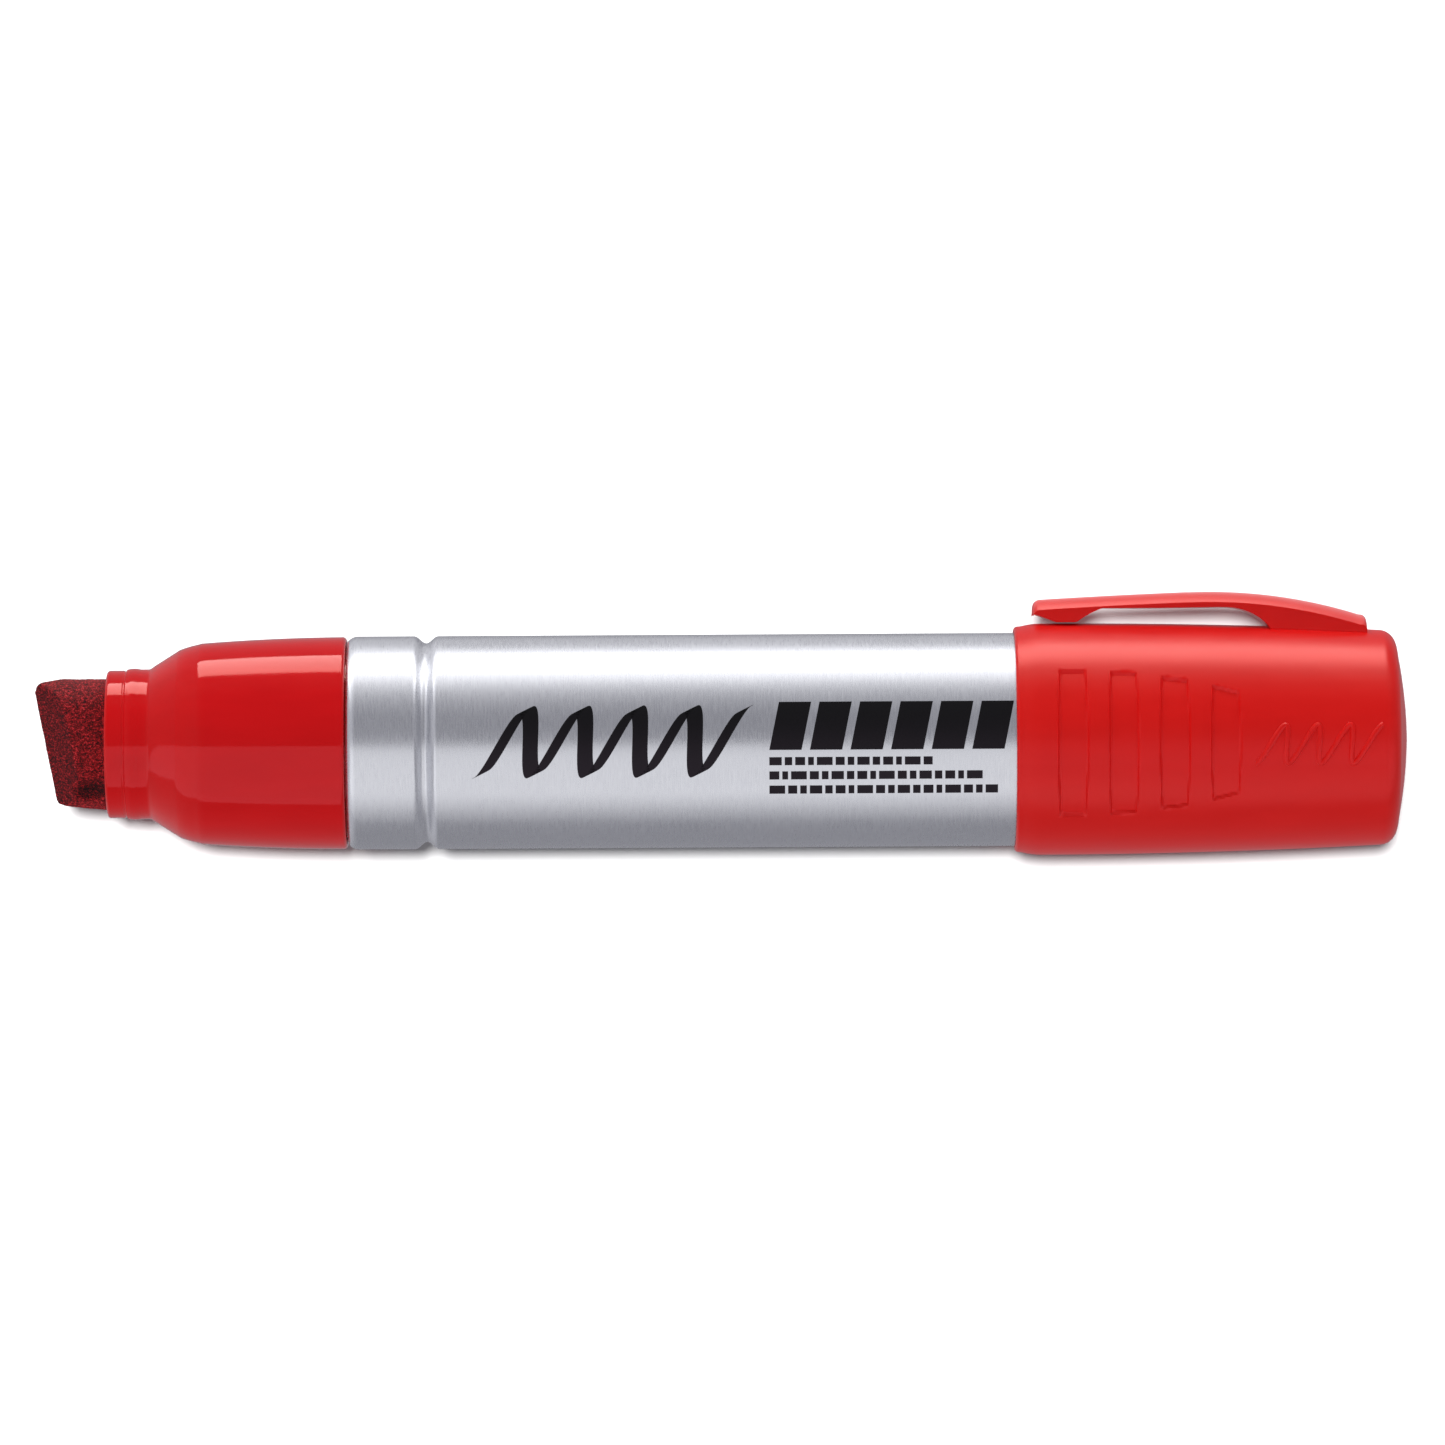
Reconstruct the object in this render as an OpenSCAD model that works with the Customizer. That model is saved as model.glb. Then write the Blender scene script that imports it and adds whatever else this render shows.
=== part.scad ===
// Jumbo chisel-point felt tip marker, cap posted on the back of the barrel.
// The marker lies along X: nib towards -X, cap towards +X, clip towards +Y, +Z up.
// Stations are counted along the axis from the joint of nose and barrel, so the nose has
// negative stations. The origin is the middle of the barrel's plain grip wall.

/* [Barrel] */
// Outside diameter of the aluminium can
barrel_d = 26; // [24:0.5:32]
// Length of the can from its rolled front edge to its closed end
barrel_len = 104.1; // [88:0.1:130]
// Wall of the can
can_wall = 0.45; // [0.3:0.05:0.6]
// Thickness of the can's closed end
can_floor = 0.8; // [0.5:0.1:2]
// Radius of the can's rolled front edge and of its rear corner
can_roll_r = 1.6; // [1.2:0.1:2]
// How far the front edge is rolled in below the wall
rim_drop = 0.55; // [0.3:0.05:0.7]
// Station of the rolled bead that locks the can to the nose
bead_at = 9.5; // [7:0.5:11]
// Width of the rolled bead
bead_w = 3.1; // [2:0.1:3.6]
// Depth of the rolled bead
bead_depth = 0.87; // [0.4:0.01:1]
// How much the can is drawn in where the cap posts on it
seat_step = 0.25; // [0.1:0.05:0.4]

/* [Nose] */
// Overall length of the nose in front of the barrel
nose_len = 29.4; // [27:0.1:36]
// Diameter of the nose's front collar
collar_d = 18; // [17.4:0.1:20]
// Length of the front collar up to the seal bead
collar_len = 2.5; // [1.5:0.1:4]
// Radius of the collar's front edge
collar_edge_r = 0.4; // [0.2:0.1:0.8]
// How far the neck stands out past the collar
neck_step = 0.13; // [0.05:0.01:0.3]
// Length of the seal bead
seal_bead_len = 1.6; // [1:0.1:2]
// Height of the seal bead above the neck
seal_bead_h = 0.1; // [0.05:0.01:0.2]
// Length of the neck from the front of the nose to the foot of the cone
neck_len = 5.3; // [4.6:0.1:7]
// Length of the straight cone behind the neck
cone_len = 3.5; // [2.5:0.1:5]
// Radial rise of the straight cone
cone_rise = 2.3; // [1.5:0.1:2.5]
// Length of the rounded shoulder behind the cone
shoulder_len = 3.7; // [2.5:0.1:5]
// How much the skirt narrows from the barrel to the shoulder
skirt_taper = 0.55; // [0.2:0.05:1]
// Length of the plug that the nose reaches into the can
plug_len = 14; // [13:0.5:20]
// Wall between the plug's bore and the locking recess
plug_wall = 1; // [0.8:0.1:1.4]
// Length of the solid block that grips the nib
nib_grip_len = 18.8; // [14:0.1:20]
// Width of the two air channels beside the nib
vent_w = 1.2; // [0.6:0.1:2]
// Depth of the air channels
vent_depth = 0.6; // [0.3:0.1:1]

/* [Nib] */
// Width of the felt nib, which sets the line it draws
nib_w = 16; // [13:0.1:16.2]
// Thickness of the felt nib
nib_t = 8; // [5:0.1:9]
// How far the leading corner of the nib stands out of the nose
nib_out = 8.9; // [7:0.1:11]
// Slant of the writing edge from square
nib_slant = 11.6; // [0:0.1:18]
// Length of the two bevels that form the writing edge
nib_bevel_len = 3.3; // [2:0.1:5]
// Thickness left at the writing edge
nib_edge_t = 2.6; // [1.5:0.1:4]
// Rounding of the leading corner
nib_lead_r = 2; // [0.5:0.1:3]
// Rounding of the trailing corner
nib_trail_r = 0.6; // [0.3:0.1:2]
// How much the nib narrows on its trailing side, from the nose to the writing edge
nib_taper = 0.7; // [0:0.1:1.5]
// How deep the nib's tail reaches into the filler
nib_tail = 7; // [4:0.5:12]

/* [Filler] */
// Thickness of the film round the ink filler
film = 0.12; // [0.08:0.02:0.3]
// Bare filler left in front of and behind the film
film_short = 3; // [1:0.5:8]

/* [Cap] */
// Overall length of the cap to the top of its domed end
cap_len = 47.9; // [47.6:0.1:60]
// Wall of the cap at its widest place
cap_wall = 1.06; // [1:0.02:1.6]
// Distance of the widest place from the lip
belly_at = 3.5; // [3:0.5:8]
// How much the cap narrows from its widest place to its closed end
cap_taper = 1.1; // [0.8:0.05:1.2]
// How much narrower the lip is than the cap's widest place
lip_taper = 0.35; // [0.2:0.05:0.5]
// Rounding of the lip's outer edge
lip_edge_r = 0.5; // [0.3:0.05:0.7]
// Thickness of the closed end at its edge
cap_end_t = 0.9; // [0.8:0.1:2]
// Height of the dome on the closed end
dome_h = 1.3; // [0.4:0.1:2]
// Rounding of the closed end's edge
cap_corner_r = 2.1; // [1:0.1:2.2]
// How deep the barrel stands in the posted cap
post_depth = 23; // [18:0.5:23.5]

/* [Grip windows] */
// Number of shallow windows on each side of the cap
window_n = 4; // [2:1:4]
// Width of each window along the cap
window_w = 3.5; // [2.5:0.1:4]
// Distance from the lip to the first window
window_at = 5.05; // [4:0.05:6]
// Distance from one window to the next
window_pitch = 6.15; // [5:0.05:6.5]
// Depth of the windows
window_depth = 0.45; // [0.3:0.05:0.5]
// Half of the arc that the first window spans, in degrees
window_arc = 38; // [25:1:45]
// How much the half arc shrinks from each window to the next, in degrees
window_arc_step = 3; // [0:0.5:4]

/* [Inner cap] */
// Wall of the seal cup inside the cap
cup_wall = 0.9; // [0.7:0.1:1.4]
// Thickness of the cup's floor
cup_floor_t = 1; // [0.6:0.1:1.6]
// Thickness of the flange round the cup's mouth
flange_t = 1.2; // [0.8:0.1:2]
// Free space between the flange and the end of the posted barrel
post_gap = 0.8; // [0.3:0.1:2]

/* [Clip] */
// Width of the clip at its root
clip_root_w = 7; // [5:0.1:9]
// Width of the clip at its tip
clip_tip_w = 6; // [4:0.1:8]
// Thickness of the clip's arm
clip_t = 1.9; // [1.4:0.1:2.6]
// Distance from the cap's lip to the tip of the clip
clip_tip_at = 2.3; // [1:0.1:5]
// Distance from the lip to the inner end of the clip's gap
clip_root_at = 30.8; // [28:0.1:32]
// Distance from the lip to the end of the clip's root
clip_end_at = 43; // [40:0.1:43.5]
// Height of the arm's outer face above the cap's widest wall
clip_rise = 3.75; // [3.2:0.05:5]
// How much lower the arm's outer face is at the tip
clip_tip_drop = 0.85; // [0.4:0.05:1.2]
// How much lower the outer face is at the end of the root
clip_end_drop = 3; // [2.6:0.1:3.2]
// Length of the flat foot under the tip
foot_len = 2.5; // [1.5:0.1:4]
// Length of the slope on each side of the foot
foot_slope = 2.8; // [2:0.1:4]

/* [Fits] */
// Gap between pieces that are pressed or crimped together
press_gap = 0.05; // [0.03:0.01:0.1]
// Gap round the filler and its film
filler_gap = 0.12; // [0.05:0.01:0.3]
// Gap between the cap's bore and the seat it posts on
post_fit = 0.3; // [0.2:0.05:0.5]
// Gap between the clip's arm and its root on the cap
clip_gap = 0.3; // [0.2:0.05:0.4]
// Gap between the clip's foot and the cap
foot_gap = 0.12; // [0.1:0.01:0.2]
// Gap between the seal cup and the seal bead when the cap closes the nose
seal_gap = 0.05; // [0.02:0.01:0.1]

/* [Hidden] */
$fn = 96;
red = "#D2232A";
barrel_r = barrel_d / 2;
can_bore_r = barrel_r - can_wall;
rim_at = sqrt(can_roll_r * can_roll_r - pow(can_roll_r - rim_drop, 2));
plug_r = can_bore_r - press_gap;
filler_bore_r = plug_r - bead_depth - plug_wall;
film_r = filler_bore_r - filler_gap;
filler_r = film_r - film - press_gap / 2;
lip_at = barrel_len - post_depth;
seat_r = barrel_r - seat_step;
cap_bore_r = seat_r + post_fit;
belly_r = cap_bore_r + cap_wall;
end_r = belly_r - cap_taper;
cap_edge_at = cap_len - dome_h;
cap_corner_at = cap_edge_at - cap_corner_r;
cap_floor_at = cap_edge_at - cap_end_t;
grip_from = bead_at + bead_w / 2;
origin_at = (grip_from + lip_at) / 2;
collar_r = collar_d / 2;
neck_r = collar_r + neck_step;
seal_r = neck_r + seal_bead_h + seal_gap;
skirt_r = barrel_r - press_gap;
rim_edge_r = 0.3;
seal_at = collar_len - nose_len;
cone_at = neck_len - nose_len;
shoulder_at = cone_at + cone_len;
skirt_at = shoulder_at + shoulder_len;
grip_back = nib_grip_len - nose_len;
filler_from = grip_back + 1;
cup_at = post_depth + post_gap;
cup_r = seal_r + cup_wall;
clip_top_r = belly_r + clip_rise;

// Points on a circle from angle a to angle b; angle 0 points away from the axis,
// angle 90 towards the cap's end.
function arc(r, station, radius, a, b, steps = 8) =
    [for (i = [0 : steps]) let (t = a + (b - a) * i / steps)
        [r + radius * cos(t), station + radius * sin(t)]];

// Points on a shallow curve from p to q that stands out by rise at its middle.
function bow(p, q, rise, steps = 8) =
    let (d = q - p, across = [d[1], -d[0]] / norm(d))
    [for (i = [0 : steps]) let (t = i / steps) p + d * t + across * 4 * rise * t * (1 - t)];

function reversed(points) = [for (i = [len(points) - 1 : -1 : 0]) points[i]];

// The rolled bead, on a wall of radius r.
function bead(r, steps = 12) =
    [for (i = [0 : steps]) let (t = i / steps)
        [r - bead_depth * (1 - cos(360 * t)) / 2, bead_at + bead_w * (t - 0.5)]];

// Radius of the cap's outside, at a distance from the lip.
function cap_outside(at) =
    let (t = (at - belly_at) / (cap_edge_at - belly_at)) belly_r - cap_taper * t * t;

// Turns an outline of [radius, station] points about the marker's axis.
module turned(points, from = 0) {
    translate([from - origin_at, 0, 0])
        rotate([0, 90, 0])
            rotate_extrude()
                polygon(points);
}

// A flat-sided bar with half-round edges, along X; its width lies along Y.
module flat_bar(from, to, width, thick) {
    translate([from - origin_at, 0, 0])
        rotate([0, 90, 0])
            linear_extrude(to - from)
                union() {
                    square([thick, width - thick], center = true);
                    for (side = [-1, 1])
                        translate([0, side * (width - thick) / 2])
                            circle(d = thick);
                }
}

// One side of the can's wall, from the rolled edge to the rear corner.
function can_side(inset) = concat(
    arc(barrel_r - can_roll_r, rim_at, can_roll_r - inset, -acos(1 - rim_drop / can_roll_r), 0),
    bead(barrel_r - inset),
    [[barrel_r - inset, lip_at], [seat_r - inset, lip_at + seat_step]]);

module barrel() {
    color("#C5C6CE")
        turned(concat(
            can_side(0),
            arc(seat_r - can_roll_r, barrel_len - can_roll_r, can_roll_r, 0, 90),
            [[0, barrel_len], [0, barrel_len - can_floor],
             [seat_r - can_roll_r, barrel_len - can_floor]],
            [[seat_r - can_wall, barrel_len - can_roll_r]],
            reversed(can_side(can_wall))));
}

// Outside of the nose, from its front face to the rear rim.
function nose_outside() = concat(
    arc(collar_r - collar_edge_r, collar_edge_r - nose_len, collar_edge_r, -90, 0, 4),
    [[collar_r, seal_at - 0.4], [collar_r - neck_step, seal_at - 0.2], [neck_r, seal_at - 0.1]],
    bow([neck_r, seal_at], [neck_r, seal_at + seal_bead_len], seal_bead_h),
    [[neck_r, cone_at]],
    bow([neck_r + cone_rise, shoulder_at], [skirt_r - skirt_taper, skirt_at], 0.26),
    bow([skirt_r - skirt_taper + 0.01, skirt_at + 0.1], [skirt_r, -rim_edge_r], 0.1),
    arc(skirt_r - rim_edge_r, -rim_edge_r, rim_edge_r, 0, 90, 4));

module nose() {
    root_r = can_bore_r - rim_drop;
    color(red)
        difference() {
            turned(concat(
                [[0, -nose_len]],
                nose_outside(),
                [[root_r, 0], [root_r, rim_at / 2], [plug_r, rim_at + 0.4]],
                bead(plug_r),
                [[plug_r, plug_len - 0.5], [plug_r - 0.5, plug_len],
                 [filler_bore_r, plug_len], [filler_bore_r, grip_back], [0, grip_back]]));
            flat_bar(-nose_len - 1, grip_back + 1, nib_w + 2 * press_gap, nib_t + 2 * press_gap);
            for (side = [-1, 1])
                translate([grip_back - nib_grip_len / 2 - origin_at, 0, side * nib_t / 2])
                    cube([nib_grip_len + 2, vent_w, 2 * vent_depth], center = true);
        }
}

// Station where the line of the writing edge crosses the leading side.
function edge_front() =
    let (s = nib_slant)
    -nose_len - nib_out + nib_lead_r * (1 - cos(s) - (1 - sin(s)) * tan(s));

// Slanted writing edge seen from above, with its two rounded corners.
module nib_plan(back) {
    half = nib_w / 2;
    lean = tan(nib_slant);
    front = -nose_len - nib_out;
    trail = edge_front() + (nib_w - nib_taper - nib_trail_r) * lean;
    polygon(concat(
        [[back, half]],
        [for (i = [0 : 6]) let (a = 90 + (90 - nib_slant) * i / 6)
            [front + nib_lead_r * (1 + cos(a)), half - nib_lead_r + nib_lead_r * sin(a)]],
        [for (i = [0 : 6]) let (a = 180 - nib_slant + (90 + nib_slant) * i / 6)
            [trail + nib_trail_r * (1 + cos(a)),
             nib_taper - half + nib_trail_r + nib_trail_r * sin(a)]],
        bow([trail + 2 * nib_trail_r, nib_taper - 0.1 - half], [-nose_len, -half], 0.1),
        [[back, -half]]));
}

// Side view of the two bevels; its front edge is at 0.
module nib_wedge(length) {
    polygon([
        [0, nib_edge_t / 2], [nib_bevel_len, nib_t / 2], [length, nib_t / 2],
        [length, -nib_t / 2], [nib_bevel_len, -nib_t / 2], [0, -nib_edge_t / 2]]);
}

module nib() {
    back = filler_from + nib_tail - 0.2;
    front = -nose_len - nib_out;
    color("#7A1418")
        intersection() {
            flat_bar(front, back, nib_w, nib_t);
            translate([-origin_at, 0, -nib_t])
                linear_extrude(2 * nib_t)
                    nib_plan(back + 1);
            translate([edge_front() - origin_at, nib_w / 2, 0])
                rotate([0, 0, nib_slant])
                    rotate([90, 0, 0])
                        translate([0, 0, -nib_w])
                            linear_extrude(3 * nib_w)
                                nib_wedge(back - front + nib_w);
        }
}

module filler() {
    color("#8A2024")
        difference() {
            turned([[0, filler_from], [filler_r, filler_from],
                    [filler_r, barrel_len - can_floor], [0, barrel_len - can_floor]]);
            flat_bar(filler_from - 1, filler_from + nib_tail,
                     nib_w + 2 * press_gap, nib_t + 2 * press_gap);
        }
}

module filler_film() {
    from = filler_from + film_short;
    to = barrel_len - can_floor - film_short;
    color("#E8E4DC")
        turned([[film_r - film, from], [film_r, from], [film_r, to], [film_r - film, to]]);
}

// Side view of the clip from the tip to the end of its root, as [distance from lip, height].
module clip_side() {
    peak_at = clip_tip_at + 0.46 * (clip_end_at - clip_tip_at);
    tip_top_r = clip_top_r - clip_tip_drop;
    end_top_r = clip_top_r - clip_end_drop;
    under_r = clip_top_r - clip_t;
    foot_r = belly_r + foot_gap;
    foot_at = clip_tip_at + foot_slope - 0.3;
    polygon(concat(
        [[clip_tip_at, foot_r + 1], [clip_tip_at, tip_top_r - 0.55],
         [clip_tip_at + 0.35, tip_top_r - 0.2]],
        reversed(bow([peak_at, clip_top_r], [clip_tip_at + 1.1, tip_top_r], 0.05)),
        reversed(bow([clip_end_at - 0.5, end_top_r], [peak_at + 0.1, clip_top_r], 0.88)),
        [[clip_end_at - 0.1, end_top_r - 0.3], [clip_end_at, end_r - 1],
         [clip_root_at + clip_gap / 2, end_r - 1],
         [clip_root_at + clip_gap / 2, cap_outside(clip_root_at) + clip_gap]],
        bow([clip_root_at - 2.3, under_r - 1.1], [clip_root_at - 13, under_r], 0.25),
        [[foot_at + foot_len + foot_slope + 0.4, under_r - 0.15],
         [foot_at + foot_len, foot_r], [foot_at, foot_r]]));
}

// Plan view of the clip, wide at the root and narrow at the tip.
module clip_plan() {
    polygon([[clip_tip_at, clip_tip_w / 2], [clip_end_at, clip_root_w / 2],
             [clip_end_at, -clip_root_w / 2], [clip_tip_at, -clip_tip_w / 2]]);
}

// The whole clip, cut to the stretch between two distances from the lip.
module clip_stretch(from, to) {
    translate([lip_at - origin_at, 0, 0])
        intersection() {
            translate([0, 0, -clip_root_w])
                linear_extrude(2 * clip_root_w)
                    clip_side();
            translate([0, 2 * belly_r, 0])
                rotate([90, 0, 0])
                    linear_extrude(2 * belly_r)
                        clip_plan();
            translate([from, 0, -clip_root_w])
                cube([to - from, 2 * belly_r, 2 * clip_root_w]);
        }
}

module clip() {
    color(red)
        clip_stretch(0, clip_root_at);
}

// Outside of the cap, from its lip to the top of the dome.
function cap_body() = concat(
    [[0, 0]],
    arc(belly_r - lip_taper - lip_edge_r, lip_edge_r, lip_edge_r, -90, 0, 4),
    bow([belly_r - lip_taper + 0.05, lip_edge_r + 0.4], [belly_r, belly_at], 0.08, 6),
    [for (i = [1 : 8]) let (at = belly_at + (cap_corner_at - belly_at) * i / 8)
        [cap_outside(at), at]],
    arc(cap_outside(cap_corner_at) - cap_corner_r, cap_corner_at, cap_corner_r, 4, 82, 8),
    bow([cap_outside(cap_corner_at) - cap_corner_r, cap_edge_at], [0, cap_len], 0.24));

module window(at, half_arc) {
    floor_r = cap_outside(at + window_w / 2) - window_depth;
    for (side = [0, 180])
        rotate([side, 0, 0])
            translate([lip_at + at - origin_at, 0, 0])
                rotate([0, 90, 0])
                    rotate([0, 0, 180 - half_arc])
                        rotate_extrude(angle = 2 * half_arc)
                            translate([floor_r, 0])
                                square([3, window_w]);
}

module cap() {
    inner_end_r = end_r - cap_wall;
    color(red)
        difference() {
            union() {
                turned(cap_body(), lip_at);
                clip_stretch(clip_root_at + clip_gap, clip_end_at + 1);
            }
            turned([[0, -1], [cap_bore_r, -1], [cap_bore_r, cup_at + flange_t],
                    [inner_end_r, cap_floor_at - 1], [inner_end_r - 1, cap_floor_at],
                    [0, cap_floor_at]], lip_at);
            for (i = [0 : window_n - 1])
                window(window_at + i * window_pitch, window_arc - i * window_arc_step);
        }
}

module inner_cap() {
    flange_r = cap_bore_r - press_gap;
    color("#D9D6CF")
        turned([[seal_r, cup_at], [flange_r, cup_at], [flange_r, cup_at + flange_t],
                [cup_r, cup_at + flange_t], [cup_r, cap_floor_at], [0, cap_floor_at],
                [0, cap_floor_at - cup_floor_t], [seal_r, cap_floor_at - cup_floor_t]], lip_at);
}

barrel();
nose();
nib();
filler();
filler_film();
cap();
inner_cap();
clip();
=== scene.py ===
# %% [markdown]
# # A jumbo felt tip marker
# The marker lies along X with its nib towards -X, its cap posted on the back of the can and
# its clip towards +Y. The measured frame comes first, and each piece is then modelled in its
# place in that frame, so nothing has to be fitted afterwards.

# %% Load the frame
import math
import bpy
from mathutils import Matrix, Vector


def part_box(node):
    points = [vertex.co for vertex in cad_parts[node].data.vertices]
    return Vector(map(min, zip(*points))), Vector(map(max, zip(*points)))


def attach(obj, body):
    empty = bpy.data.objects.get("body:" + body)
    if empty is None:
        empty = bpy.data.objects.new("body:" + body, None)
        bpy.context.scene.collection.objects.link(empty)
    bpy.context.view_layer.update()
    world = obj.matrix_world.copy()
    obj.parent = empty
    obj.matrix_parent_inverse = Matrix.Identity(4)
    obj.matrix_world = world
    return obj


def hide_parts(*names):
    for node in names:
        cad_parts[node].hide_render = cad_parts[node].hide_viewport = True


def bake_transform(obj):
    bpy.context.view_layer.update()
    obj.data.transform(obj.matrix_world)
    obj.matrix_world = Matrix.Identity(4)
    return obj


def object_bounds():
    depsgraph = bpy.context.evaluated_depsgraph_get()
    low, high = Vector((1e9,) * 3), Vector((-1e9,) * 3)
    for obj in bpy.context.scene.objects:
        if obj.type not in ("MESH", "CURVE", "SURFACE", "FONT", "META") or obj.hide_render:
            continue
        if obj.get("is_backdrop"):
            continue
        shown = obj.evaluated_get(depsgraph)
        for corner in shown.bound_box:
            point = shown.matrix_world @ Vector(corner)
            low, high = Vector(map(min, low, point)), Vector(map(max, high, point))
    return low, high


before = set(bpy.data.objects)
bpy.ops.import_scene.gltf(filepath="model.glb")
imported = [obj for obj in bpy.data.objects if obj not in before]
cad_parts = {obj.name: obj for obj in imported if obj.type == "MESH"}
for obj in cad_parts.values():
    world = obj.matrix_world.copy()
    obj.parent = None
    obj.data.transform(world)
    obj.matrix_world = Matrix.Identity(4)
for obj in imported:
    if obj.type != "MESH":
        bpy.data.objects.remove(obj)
cad_low, cad_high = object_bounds()
MM = 0.001
print("frame", [round(side / MM, 1) for side in cad_high - cad_low], "mm")

# %% [markdown]
# ## Main sizes
# The frame says where the can starts, where the cap's lip is and how thick each piece is.
# Every outline below is given as (station, radius) in millimetres, where station 0 is the
# joint of nose and can and radius is the distance from the marker's axis.

# %% Main sizes
can_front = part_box("barrel")[0].x
can_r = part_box("barrel")[1].z / MM
can_len = (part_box("barrel")[1].x - can_front) / MM
nose_front = (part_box("nose")[0].x - can_front) / MM
nose_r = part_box("nose")[1].z / MM
plug_end = (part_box("nose")[1].x - can_front) / MM
nib_front = (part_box("nib")[0].x - can_front) / MM
nib_back = (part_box("nib")[1].x - can_front) / MM
nib_w = 2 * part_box("nib")[1].y / MM
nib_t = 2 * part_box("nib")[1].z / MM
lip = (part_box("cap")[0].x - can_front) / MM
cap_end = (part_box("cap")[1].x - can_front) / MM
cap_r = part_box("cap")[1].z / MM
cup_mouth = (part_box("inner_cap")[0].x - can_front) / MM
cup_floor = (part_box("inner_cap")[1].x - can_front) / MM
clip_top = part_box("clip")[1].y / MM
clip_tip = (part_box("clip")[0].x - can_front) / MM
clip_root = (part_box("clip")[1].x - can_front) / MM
print("can", round(can_len, 1), "mm long,", round(2 * can_r, 1), "mm across; lip at", round(lip, 1))


def place(station, y=0.0, z=0.0):
    """A point in the frame, from a station and two distances in millimetres."""
    return (can_front + station * MM, y * MM, z * MM)


# %% [markdown]
# ## Drawing an outline
# A round piece is easiest to make as on a lathe: half of its section is drawn once, and the
# outline is spun about the axis. Only corners and curves need points, so two small helpers
# give an arc and a shallow bow. The outline itself is drawn as by hand: a plane is merged to
# one vertex, and that vertex is extruded from point to point.


# %% Outline helpers
def arc(station, radius, r, start, end, steps=8):
    """Points on a circle. 0 degrees points away from the axis and 90 towards the cap."""
    angles = [math.radians(start + (end - start) * i / steps) for i in range(steps + 1)]
    return [(station + r * math.sin(a), radius + r * math.cos(a)) for a in angles]


def bow(p, q, rise, steps=8):
    """Points on a shallow curve from p to q that stands out by rise at its middle."""
    dx, dr = q[0] - p[0], q[1] - p[1]
    length = math.hypot(dx, dr)
    points = []
    for i in range(steps + 1):
        t = i / steps
        out = 4 * rise * t * (1 - t) / length
        points.append((p[0] + dx * t - dr * out, p[1] + dr * t + dx * out))
    return points


def draw_chain(name, points):
    """Draws a chain of edges through points of the frame by extruding one vertex."""
    bpy.ops.object.select_all(action="DESELECT")
    bpy.ops.mesh.primitive_plane_add(size=MM)
    piece = bpy.context.object
    piece.name = piece.data.name = name
    bpy.ops.object.mode_set(mode="EDIT")
    bpy.ops.mesh.merge(type="CENTER")
    bpy.ops.transform.translate(value=points[0])
    for here, there in zip(points, points[1:]):
        step = tuple(b - a for a, b in zip(here, there))
        bpy.ops.mesh.extrude_vertices_move(TRANSFORM_OT_translate={"value": step})
    return piece


# %% [markdown]
# ## Spinning an outline
# Spin copies the outline round the axis and joins the copies with faces. The first and last
# copies meet, so doubles are merged, and then the normals are made to point outwards.
# Smooth shading by angle keeps true edges crisp and lets the rest read as one curve.


# %% Lathe helper
def turn_on_lathe(name, outline, steps=256):
    """Spins an outline of (station, radius) about the marker's axis."""
    piece = draw_chain(name, [place(s, 0, r) for s, r in outline])
    bpy.ops.mesh.select_all(action="SELECT")
    bpy.ops.mesh.spin(steps=steps, angle=math.tau, center=(0, 0, 0), axis=(1, 0, 0))
    bpy.ops.mesh.select_all(action="SELECT")
    bpy.ops.mesh.remove_doubles(threshold=0.002 * MM)
    bpy.ops.mesh.normals_make_consistent(inside=False)
    bpy.ops.object.mode_set(mode="OBJECT")
    print(name, "is turned from", len(outline), "points")
    return piece


def smooth(piece, degrees=32):
    """Shades smoothly across every edge that turns less than this angle."""
    bpy.ops.object.select_all(action="DESELECT")
    piece.select_set(True)
    bpy.context.view_layer.objects.active = piece
    bpy.ops.object.shade_smooth_by_angle(angle=math.radians(degrees))


def even_shading(piece):
    """Keeps broad faces flat in shade and lets the small ones at a corner turn the light."""
    smooth(piece)
    modifier = piece.modifiers.new("Even", "WEIGHTED_NORMAL")
    modifier.keep_sharp = True
    bpy.ops.object.modifier_apply(modifier=modifier.name)


def fit(piece, body, slot, *nodes):
    """Lets a finished piece ride on its body and stand for its nodes."""
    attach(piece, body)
    if nodes:
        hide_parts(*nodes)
    print(piece.name, len(piece.data.polygons), "faces")


# %% [markdown]
# ## The aluminium can
# The barrel is an impact-extruded can: a thin tube with a closed end, drawn from one slug of
# aluminium. Its mouth is rolled inwards over the nose, and a rolled bead nearly 10 mm behind
# it grips the nose's plug. The closed end is pressed in a little, so that the can stands on a
# ring, and its middle disc rises again. All of this comes from the outline, and so does the
# wall's true thickness.

# %% Can outline
can_wall = 0.45
can_floor = 0.8
roll_r = 1.6
rim_drop = 0.55
seat_step = 0.25
bead_at = 9.5
bead_w = 3.1
bead_depth = 0.87
seat_r = can_r - seat_step
base_ring_r = 10.2
base_step = 0.4
disc_r = 5.2
disc_rise = 0.25
base_at = can_len - base_step
disc_at = base_at + disc_rise


def rolled_bead(radius, steps=20):
    """The bead's smooth hollow, on a wall of that radius."""
    points = []
    for i in range(steps + 1):
        t = i / steps
        hollow = (0.5 - 0.5 * math.cos(math.tau * t)) ** 1.15
        points.append((bead_at + bead_w * (t - 0.5), radius - bead_depth * hollow))
    return points


def can_side(inset):
    """The can's side from its rolled mouth to its seat, moved in by the inset."""
    rim_at = math.sqrt(roll_r**2 - (roll_r - rim_drop) ** 2)
    start = -math.degrees(math.acos(1 - rim_drop / roll_r))
    return (
        arc(rim_at, can_r - roll_r, roll_r - inset, start, 0, 12)
        + rolled_bead(can_r - inset)
        + [(lip, can_r - inset), (lip + 0.25, seat_r - inset)]
    )


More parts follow.
